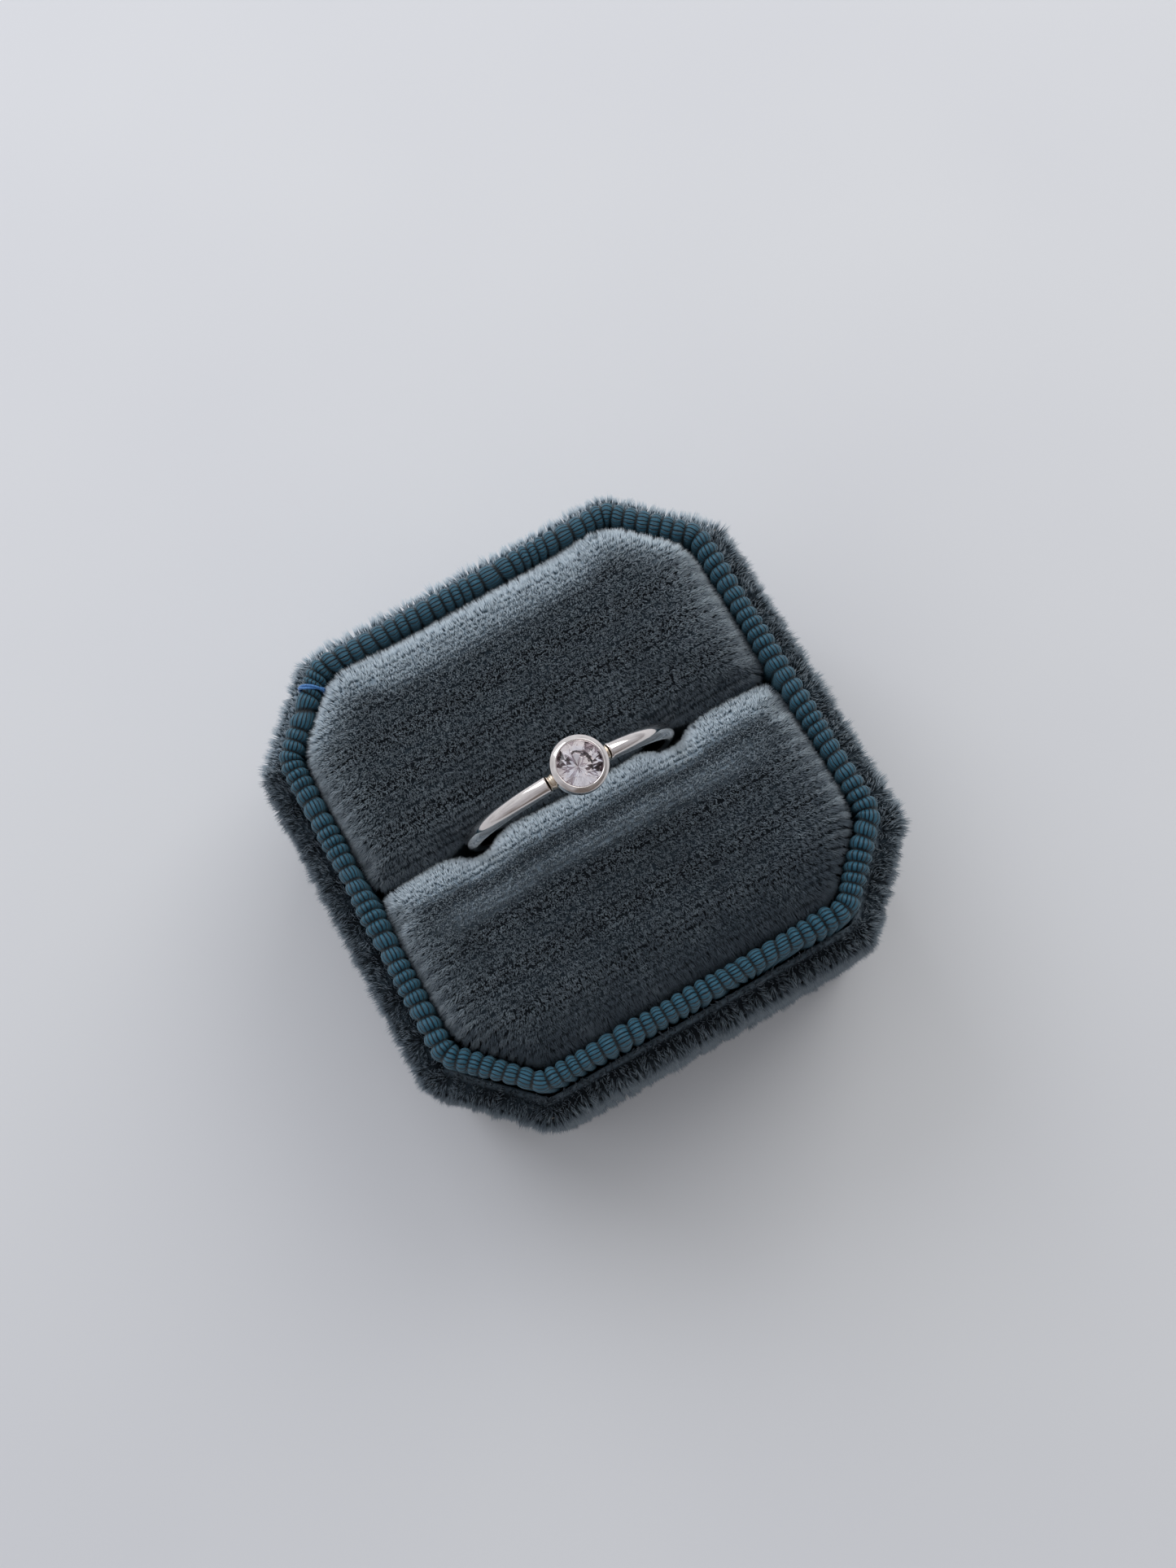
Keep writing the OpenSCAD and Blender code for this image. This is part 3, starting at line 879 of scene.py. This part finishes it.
# the cloth's outside and top, just off the board's, and its ledge's start beside the ribbon
cloth_half = wall_half + 0.42
cloth_top = wall_top + 0.28
ledge_in = ribbon_half + 0.12
SHELL_EDGE = 1.1
TUCK_EDGE = 0.5
HEM_EDGE = 0.6
TUCK_DEPTH = 4.0
HEM_WIDTH = 4.2
SHELL_STEPS_ROUND = 760
SHELL_ROW = 0.5


def shell_line():
    """The cloth's outer face, from the tuck beside the collar over the ledge and down to the hem."""
    line = [(ledge_in, shell_top - TUCK_DEPTH), (ledge_in, cloth_top - TUCK_EDGE)]
    line += arc_line((ledge_in + TUCK_EDGE, cloth_top - TUCK_EDGE), TUCK_EDGE, 180, 90, 4)
    line += arc_line((cloth_half - SHELL_EDGE, cloth_top - SHELL_EDGE), SHELL_EDGE, 90, 0, 8)
    line += [(cloth_half, CLOTH_T + 0.5)]
    line += arc_line((cloth_half - HEM_EDGE, HEM_EDGE), HEM_EDGE, 0, -90, 6)
    line += [(cloth_half - HEM_WIDTH, 0.0)]
    return line


def shell_cloth():
    """The shell's velvet: one strip wrapped round it; its pile is made by shell_pile."""
    line, run = resampled(shell_line(), SHELL_ROW)
    inward = -profile_normals(line)
    inner = (line + inward * CLOTH_T)[::-1]
    profile = np.vstack([line, inner])
    rings, _ = wrapped(profile, SHELL_STEPS_ROUND, cloth_half, SHELL_CORNER)
    faces = loop_faces(len(profile), SHELL_STEPS_ROUND, True)
    cloth = make("shell_velvet", rings.reshape(-1, 3), faces[:, ::-1], GROUND)
    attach(cloth, "box")
    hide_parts("velvet_wrap")
    strip = run[-1] * MM
    round_it = np.linalg.norm(np.diff(rings[len(line) // 2], axis=0), axis=1).sum() * MM
    return cloth, strip, round_it


# the shell's tufts: how far each jogs down and round from its place, and how rows and tufts stray
JOG_DOWN = 0.07
JOG_ROUND = 0.03
ROW_STRAY = 0.2
SHELL_LOOSE = 0.11
DOWN_LEAN = 0.2
SHELL_PILE = 1.1
ROW_LENGTHS = (0.8, 1.15)
# the cut corners bring the way round down to about this share of a square's
CORNER_SHARE = 0.93


def shell_painted_light_tone(outward):
    """How pale the shell's pile is painted: painted light makes it pale behind, where it faces the window,
    and a little paler to the right, and painted shade makes it dark in front.
    """
    right, back = outward[:, 0], outward[:, 1]
    return 0.27 + 0.62 * np.clip(back, 0, 1) - 0.05 * np.clip(-back, 0, 1) + 0.10 * right


def shell_pile(name, first, last, row, step, width, seed):
    """Pile on a stretch of the shell's cloth, between two distances along its profile."""
    line, run = resampled(shell_line(), 0.05)
    rng = np.random.default_rng(seed)
    at = np.arange(first, last, row)
    half = np.interp(at, run, line[:, 0])
    height = np.interp(at, run, line[:, 1])
    facing = profile_normals(line)
    tilt = np.stack([np.interp(at, run, facing[:, i]) for i in range(2)], -1)
    count = int(4 * (2 * cloth_half) * CORNER_SHARE / step)
    rings, outward = wrapped(np.stack([half, height], -1), count, cloth_half, SHELL_CORNER)
    normals = np.concatenate([outward * tilt[:, 0, None, None],
                              np.broadcast_to(tilt[:, 1, None, None], outward.shape[:2] + (1,))], -1)
    down_run = np.concatenate([outward * tilt[:, 1, None, None],
                               np.broadcast_to(-tilt[:, 0, None, None], outward.shape[:2] + (1,))], -1)
    round_run = np.cross(normals, down_run)
    jog = rng.normal(0, 1, rings.shape[:2] + (2,))
    rings = rings + down_run * jog[..., :1] * JOG_DOWN + round_run * jog[..., 1:] * JOG_ROUND
    # the ground is woven in rows that run down the walls, and each row's tufts stray together
    stray = rng.normal(0, ROW_STRAY, (1, count, 1))
    lean = down_run * DOWN_LEAN + round_run * stray
    length = SHELL_PILE * np.broadcast_to(rng.uniform(*ROW_LENGTHS, count), rings.shape[:2]).ravel()
    return pile(name, rings.reshape(-1, 3), normals.reshape(-1, 3), lean.reshape(-1, 3), length, width, 1,
                shell_painted_light_tone(outward.reshape(-1, 2)), seed, loose=SHELL_LOOSE)


shell_velvet, strip_width, strip_length = shell_cloth()
LEDGE_START = 3.7
FINE_PILE_END = LEDGE_START + 8.2
hem_start = resampled(shell_line(), SHELL_ROW)[1][-1] - 4.5
upper = shell_pile("shell_pile_upper", LEDGE_START, FINE_PILE_END, row=0.42, step=0.6, width=0.11, seed=21)
lower = shell_pile("shell_pile_lower", FINE_PILE_END, hem_start, row=0.5, step=0.6, width=0.15, seed=22)


# ---- the ribbon and its stitch ----

RIB_PITCH = 1.13
RIB_RISE = 0.40
RIBBON_CORNER = 1.7
RIBBON_BACK = 0.22
BACK_ROWS = 12
STEPS_PER_RIB = 10
# the collar board with the ribbon inside it
BOARD_AND_RIBBON_T = 1.6
# the fold over the rim, and how far the ribbon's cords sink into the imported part's outside and top
FOLD_ROUND = 0.82
SUNK_OUT = 0.10
SUNK_TOP = 0.14
# rows of points over the fold are this close
FOLD_STEP = 0.17
# the power that shapes a cord's section, and which share of its height is the ribbon's own surface
CORD_POWER = 0.7
CORD_LEVEL = 0.72
BUNCH_REACH = 3.2
rim_half = (ribbon_half + corners("collar_board")[1][0] - BOARD_AND_RIBBON_T) / 2
lap = sum(corners("ribbon_stitch")) / 2


def ribbon_line():
    """The ribbon's outer face in section, from its outer edge up, over the rim and down inside."""
    out = ribbon_half - SUNK_OUT
    inside = 2 * rim_half - out
    top = rim_top - SUNK_TOP
    low = top - FOLD_ROUND
    fold = [(out, shell_top - 0.3), (out, low)]
    fold += arc_line((out - FOLD_ROUND, low), FOLD_ROUND, 0, 90, 10)
    fold += arc_line((inside + FOLD_ROUND, low), FOLD_ROUND, 90, 180, 10)
    fold += [(inside, top - 2.9)]
    below = [(out, ribbon_low), (out, ribbon_low + 1.4)]
    within = [(inside, top - 4.2), (inside, top - 6.7)]
    return np.vstack([below, resampled(fold, FOLD_STEP)[0], within])


def wander(at, period, seed):
    """A smooth wavering that repeats after a period, between about -1 and 1."""
    rng = np.random.default_rng(seed)
    turns = at / period * 2 * math.pi
    waves = [math.sin(rng.uniform(0, 6.28)) * np.sin(n * turns + rng.uniform(0, 6.28)) for n in range(2, 26)]
    return sum(waves) / 2.5


def ribbon():
    """Grosgrain: raised cords across the ribbon, wavering a little and bunched at the lap."""
    line = ribbon_line()
    steps = np.linalg.norm(np.diff(line, axis=0), axis=1)
    run = np.concatenate([[0], np.cumsum(steps)])
    leg = leg_at(rim_half)
    around = 8 * (rim_half - leg) + 4 * math.sqrt(2) * leg
    ribs = int(round(around / RIB_PITCH))
    count = ribs * STEPS_PER_RIB
    rings, outward = wrapped(line, count, rim_half, RIBBON_CORNER)
    column = np.arange(count) / STEPS_PER_RIB
    rim_row = int(np.argmax(line[:, 1]))
    from_lap = np.linalg.norm(rings[rim_row, :, :2] - lap[:2], axis=1)
    bunch = np.exp(-(from_lap / BUNCH_REACH) ** 2)
    slant = 0.10 * wander(column, ribs, 3) + 0.7 * bunch * wander(column, ribs, 4)
    phase = (column + 0.18 * wander(column, ribs, 5) + 0.8 * bunch * wander(column, ribs, 6))[None]
    phase = phase + slant[None] * (run - run[rim_row])[:, None] / 2
    across = 2 * (phase % 1) - 1
    cord = np.clip(1 - across ** 2, 0, 1) ** CORD_POWER * (1 + 0.12 * wander(column, ribs, 7))[None]
    facing = -profile_normals(line)[:, None]
    rise = (cord - CORD_LEVEL) * RIB_RISE
    face = rings.copy()
    face[..., :2] += outward * facing[..., :1] * rise[..., None]
    face[..., 2] += facing[..., 1] * rise
    keep = np.linspace(0, len(line) - 1, BACK_ROWS).astype(int)[::-1]
    back = rings[keep].copy()
    sink = RIBBON_BACK + 0.25 * RIB_RISE
    back[..., :2] -= outward[keep] * facing[keep][..., :1] * sink
    back[..., 2] -= facing[keep][..., 1] * sink
    shape = np.concatenate([face, back])
    faces = loop_faces(len(shape), count, True)
    piece = make("grosgrain_ribbon", shape.reshape(-1, 3), faces, RIBBON)
    weave_u = np.concatenate([phase, np.broadcast_to(column, (len(keep), count))])
    weave_v = np.broadcast_to(np.concatenate([run, run[keep]])[:, None], weave_u.shape)
    set_uv(piece, "weave", np.stack([weave_u, weave_v], -1).reshape(-1, 2))
    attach(piece, "box")
    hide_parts("ribbon_trim")
    return piece


def tube(name, line, radius, material, sides=8):
    """A round thread along a line of points, closed at both ends."""
    line = np.asarray(line)
    forward = np.gradient(line, axis=0)
    forward /= np.linalg.norm(forward, axis=1)[:, None]
    side = np.cross(forward, UP + 0.01)
    side /= np.linalg.norm(side, axis=1)[:, None]
    other = np.cross(forward, side)
    turn = np.arange(sides) * 2 * math.pi / sides
    width = np.full(len(line), radius)
    width[[0, -1]] *= 0.3
    rings = (line[:, None] + width[:, None, None] * (np.cos(turn)[None, :, None] * side[:, None]
                                                      + np.sin(turn)[None, :, None] * other[:, None]))
    piece = make(name, rings.reshape(-1, 3), loop_faces(len(line), sides, False), material)
    close_ends(piece, sides, sharp=False)
    return piece


PLY_R = 0.13
PLY_CLEAR = 0.10
STITCH_SLANT = 15
STITCH_REACH = 14


def stitch():
    """Two plies of blue thread over the ribbon at its lap, twisted once and drawn tight."""
    line = ribbon_line()
    top = int(np.argmax(line[:, 1]))
    part = resampled(line[top - STITCH_REACH:top + STITCH_REACH + 1], 0.12)[0]
    outward = np.array([-1, 1]) / math.sqrt(2)
    along = np.array([1, 1]) / math.sqrt(2)
    across = part[:, 0] - rim_half
    lift = -profile_normals(part) * (RIB_RISE * 0.25 + PLY_CLEAR)
    slant = -math.tan(math.radians(STITCH_SLANT))
    middle = np.dot(lap[:2], outward)
    sideways = np.dot(lap[:2], along) + across * slant
    flat = (middle + across + lift[:, 0])[:, None] * outward + sideways[:, None] * along
    core = np.column_stack([flat, part[:, 1] + lift[:, 1]])
    turns = np.linspace(0, 2.4 * math.pi, len(core))
    plies = []
    for ply in range(2):
        swing = turns + ply * math.pi
        offset = np.column_stack([np.cos(swing)[:, None] * along * PLY_R, np.sin(swing) * 0.06])
        plies.append(tube(f"stitch_ply_{ply + 1}", core + offset, PLY_R, THREAD))
    for ply in plies:
        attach(ply, "box")
    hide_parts("ribbon_stitch")


def eased_collar():
    """The collar board, its top edges worn round under the ribbon."""
    low, high = corners("collar_board")
    # the board is drawn a little thin and low, so that it stays under the grooves between the cords
    outside = high[0] - 0.12
    inside = high[0] - 1.08
    top = high[2] - 0.25
    ease = 0.42
    steps_round = 320
    line = [(inside, low[2]), (outside, low[2]), (outside, top - ease)]
    line += arc_line((outside - ease, top - ease), ease, 0, 90, 5)[1:]
    line += arc_line((inside + ease, top - ease), ease, 90, 180, 5)
    rings, _ = wrapped(line, steps_round, rim_half, RIBBON_CORNER)
    faces = loop_faces(len(line), steps_round, True)[:, ::-1]
    board = make("collar_form", rings.reshape(-1, 3), faces, BOARD)
    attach(board, "box")
    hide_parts("collar_board")


ribbon()
stitch()
eased_collar()


# ---- the ring ----

BEZEL_R = 2.42
BEZEL_H = 2.3
BEZEL_TOP = RING_R + 1.1
# inside the cup: the lip over the stone's edge, the bore for its girdle and the hole under its point
LIP_R = 1.885
BORE_R = 2.02
CULET_BORE_R = 0.62
SOLDER_GAP = 0.35
END_X = BEZEL_R + SOLDER_GAP


def band_profile():
    """The wire in section as (radius from the ring's centre, y): round, with a flat inside."""
    centre = RING_R - WIRE_R
    flat = RING_R - BAND_T
    edge = math.degrees(math.acos((flat - centre) / WIRE_R))
    round_side = arc_line((centre, 0), WIRE_R, -edge, edge, 44)
    half_flat = round_side[-1][1]
    # buffing leaves the flat a hair proud along its middle
    flat_side = [(flat - 0.012 * math.cos(y * 1.5), half_flat * -y) for y in np.linspace(-0.9, 0.9, 9)]
    return round_side + flat_side


def band():
    """The ring's band: swept round from one side of the bezel to the other, with eased ends."""
    profile = np.array(band_profile())
    start = math.asin(END_X / (RING_R - WIRE_R))
    turns = np.linspace(start, 2 * math.pi - start, 260)
    ease = 0.05
    first, last = turns[0], turns[-1]
    turns = np.concatenate([[first], [first + ease / RING_R], turns[1:-1], [last - ease / RING_R], [last]])
    centre = np.array([RING_R - BAND_T / 2, 0.0])
    rings = []
    for i, turn in enumerate(turns):
        shrink = 0.93 if i in (0, len(turns) - 1) else 1.0
        rho, y = ((profile - centre) * shrink + centre).T
        rings.append(np.stack([rho * math.sin(turn), y, rho * math.cos(turn)], -1))
    around = len(profile)
    points = np.concatenate(rings)
    piece = make("band", on_ring(points), loop_faces(len(turns), around, False), GOLD)
    close_ends(piece, around)
    return piece


def turned(name, profile, material, steps=128):
    """A closed form of revolution about the stone's axis, from a closed (radius, height) profile."""
    profile = np.array(profile)
    angles = np.arange(steps) * 2 * math.pi / steps
    rings = np.stack([profile[:, :1] * np.cos(angles), profile[:, :1] * np.sin(angles),
                      np.repeat(profile[:, 1:], steps, 1)], -1)
    return make(name, on_ring(rings.reshape(-1, 3)), loop_faces(len(profile), steps, True)[:, ::-1], material)


def bezel():
    """The cup: tapered wall, a burnished rim that slopes outwards, and a bright bevel inside it."""
    foot = BEZEL_TOP - BEZEL_H
    taper = 0.30
    wall_h = 1.1
    # round the foot, up the tapered wall, in over the rim, down the bevel, under the lip and down the seat
    profile = [(CULET_BORE_R, foot), (2.02, foot), (2.08, foot + 0.02), (2.12, foot + 0.08)]
    profile += [(BEZEL_R - taper * (1 - t) ** 2, foot + 0.08 + wall_h * t) for t in np.linspace(0.15, 1, 8)]
    profile += [(BEZEL_R, BEZEL_TOP - 0.34), (2.415, BEZEL_TOP - 0.30), (2.395, BEZEL_TOP - 0.26)]
    profile += [(2.03, BEZEL_TOP - 0.035), (2.01, BEZEL_TOP - 0.02), (1.98, BEZEL_TOP - 0.02)]
    profile += [(1.90, BEZEL_TOP - 0.12), (LIP_R, BEZEL_TOP - 0.16), (LIP_R, BEZEL_TOP - 0.36)]
    profile += [(BORE_R, BEZEL_TOP - 0.44), (BORE_R, BEZEL_TOP - 0.62), (CULET_BORE_R, foot + 0.35)]
    return turned("bezel", profile, GOLD)


def solder():
    """The solder in each gap: a waist between the square end of the band and the bezel's wall."""
    height = math.sqrt(RING_R ** 2 - END_X ** 2) - WIRE_R
    sides = 28
    angles = np.arange(sides) * 2 * math.pi / sides
    inner_end = 1.9
    thin, flare, widest = 0.64, 0.12, 0.74
    pieces = []
    for name, side in (("solder_left", -1), ("solder_right", 1)):
        places = np.linspace(END_X + 0.03, inner_end, 12)
        waist = [thin + flare * abs(2 * (END_X - x) / SOLDER_GAP - 1) ** 2 for x in places]
        rings = [[(side * x, 0.93 * r * math.cos(a), height + r * math.sin(a) * 1.05) for a in angles]
                 for x, r in zip(places, np.minimum(waist, widest))]
        faces = loop_faces(len(places), sides, False)
        piece = make(name, on_ring(np.array(rings).reshape(-1, 3)), faces, SOLDER)
        close_ends(piece, sides)
        pieces.append(piece)
    return pieces


def stone():
    """The brilliant, with its facets kept sharp and flat: clear crown, and mirrors below the girdle."""
    mesh = frame["nodes"]["ring_stone"].data.copy()
    mesh.materials.clear()
    mesh.materials.append(STONE)
    mesh.materials.append(MIRRORS)
    shape = bmesh.new()
    shape.from_mesh(mesh)
    bmesh.ops.remove_doubles(shape, verts=shape.verts, dist=0.001 * MM)
    bmesh.ops.dissolve_limit(shape, angle_limit=math.radians(0.5), verts=shape.verts, edges=shape.edges)
    axis = Vector(PLACE[:, 2])
    middle = sum((v.co for v in shape.verts), Vector()) / len(shape.verts)
    girdle = max((v.co - middle - (v.co - middle).dot(axis) * axis).length for v in shape.verts)
    facet = shape.loops.layers.uv.new("facet")
    for face in shape.faces:
        face.smooth = False
        face.material_index = 1 if face.normal.dot(axis) < -0.2 else 0
        for corner in face.loops:
            reach = (corner.vert.co - middle) / girdle
            corner[facet].uv = (reach.dot(Vector(PLACE[:, 0])), reach.dot(Vector(PLACE[:, 1])))
    shape.to_mesh(mesh)
    shape.free()
    return linked("stone", mesh)


for piece, node, slot in [(band(), "ring_band", "white_gold"), (bezel(), "ring_bezel", "white_gold"),
                          (stone(), "ring_stone", "brilliant_stone")]:
    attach(piece, "ring")
    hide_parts(node)
for piece in solder():
    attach(piece, "ring")
    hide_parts("ring_solder")


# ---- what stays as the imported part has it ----

def dress(node, material):
    """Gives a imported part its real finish."""
    data = frame["nodes"][node].data
    data.materials.clear()
    data.materials.append(material)


for board in ("bottom_board", "wall_board", "insert_card"):
    dress(board, BOARD)
dress("bottom_cover", FLOCK)
dress("slot_strip", FOAM)


# ---- table, light and camera ----

def table():
    """A plain table top, wide enough to fill the view."""
    size = 900.0
    points = [(-size, -size, 0), (size, -size, 0), (size, size, 0), (-size, size, 0)]
    top = make("table_top", points, [(0, 1, 2, 3)], TABLE)


def soft_light(name, place, size, power, code):
    """A square soft light at a place in millimetres, turned to the box."""
    lamp = bpy.data.lights.new(name, "AREA")
    lamp.size = size * MM
    lamp.energy = power
    lamp.color = srgb(code)[:3]
    made = linked(name, lamp)
    made.location = Vector(place) * MM
    made.rotation_mode = "QUATERNION"
    made.rotation_quaternion = (-Vector(place)).to_track_quat("-Z", "Y")


table()
soft_light("window", (-120, 520, 400), 420, 1.35, "#f4f6ff")
soft_light("ceiling_bounce", (420, 240, 420), 420, 1.15, "#fdfcfa")


def room_light():
    """The room's own light: brighter and cooler from the window's side, dim and warmer from in front."""
    world = bpy.data.worlds.new("room")
    world.use_nodes = True
    tree = world.node_tree
    sky = put(tree, "ShaderNodeTexCoord")
    side = put(tree, "ShaderNodeSeparateXYZ", {"Vector": sky.outputs["Generated"]})
    up = put(tree, "ShaderNodeMath", {0: side.outputs["Z"], 1: 0.35}, operation="MULTIPLY")
    lean = put(tree, "ShaderNodeMath", {0: side.outputs["Y"], 1: up.outputs[0]}, operation="ADD")
    clutter = put(tree, "ShaderNodeTexNoise",
                  {"Vector": sky.outputs["Generated"], "Scale": 2.4, "Detail": 1.0})
    uneven = put(tree, "ShaderNodeMapRange",
                 {"Value": clutter.outputs["Fac"], "To Min": -0.9, "To Max": 0.9})
    seen = put(tree, "ShaderNodeMath",
               {0: lean.outputs[0], 1: uneven.outputs["Result"]}, operation="ADD")
    part = put(tree, "ShaderNodeMapRange",
               {"Value": seen.outputs[0], "From Min": -0.9, "From Max": 1.0})
    colour = put(tree, "ShaderNodeValToRGB",
                 {"Fac": part.outputs["Result"]},
                 stops=[(0.0, "#7d7673"), (0.5, "#cacbd1"), (1.0, "#f7faff")]).outputs["Color"]
    back = tree.nodes["Background"]
    tree.links.new(colour, back.inputs["Color"])
    back.inputs["Strength"].default_value = 0.79
    bpy.context.scene.world = world


room_light()

CAMERA_PLACE = (-6.8, -28.0, 124.3 + rim_top)
CAMERA_RIGHT = Vector((0.8701, -0.4899, -0.0533))
CAMERA_BACK = Vector((-0.0611, -0.2146, 0.9748))
camera_data = bpy.data.cameras.new("camera")
camera_data.sensor_width = 36
camera_data.lens = 33.6
camera_data.clip_start = 0.001
camera = linked("camera", camera_data)
camera_up = CAMERA_BACK.cross(CAMERA_RIGHT)
turn = Matrix((CAMERA_RIGHT, camera_up, CAMERA_BACK)).transposed()
camera.matrix_world = Matrix.Translation(Vector(CAMERA_PLACE) * MM) @ turn.to_4x4()
bpy.context.scene.camera = camera
bpy.context.scene.view_settings.view_transform = "Standard"
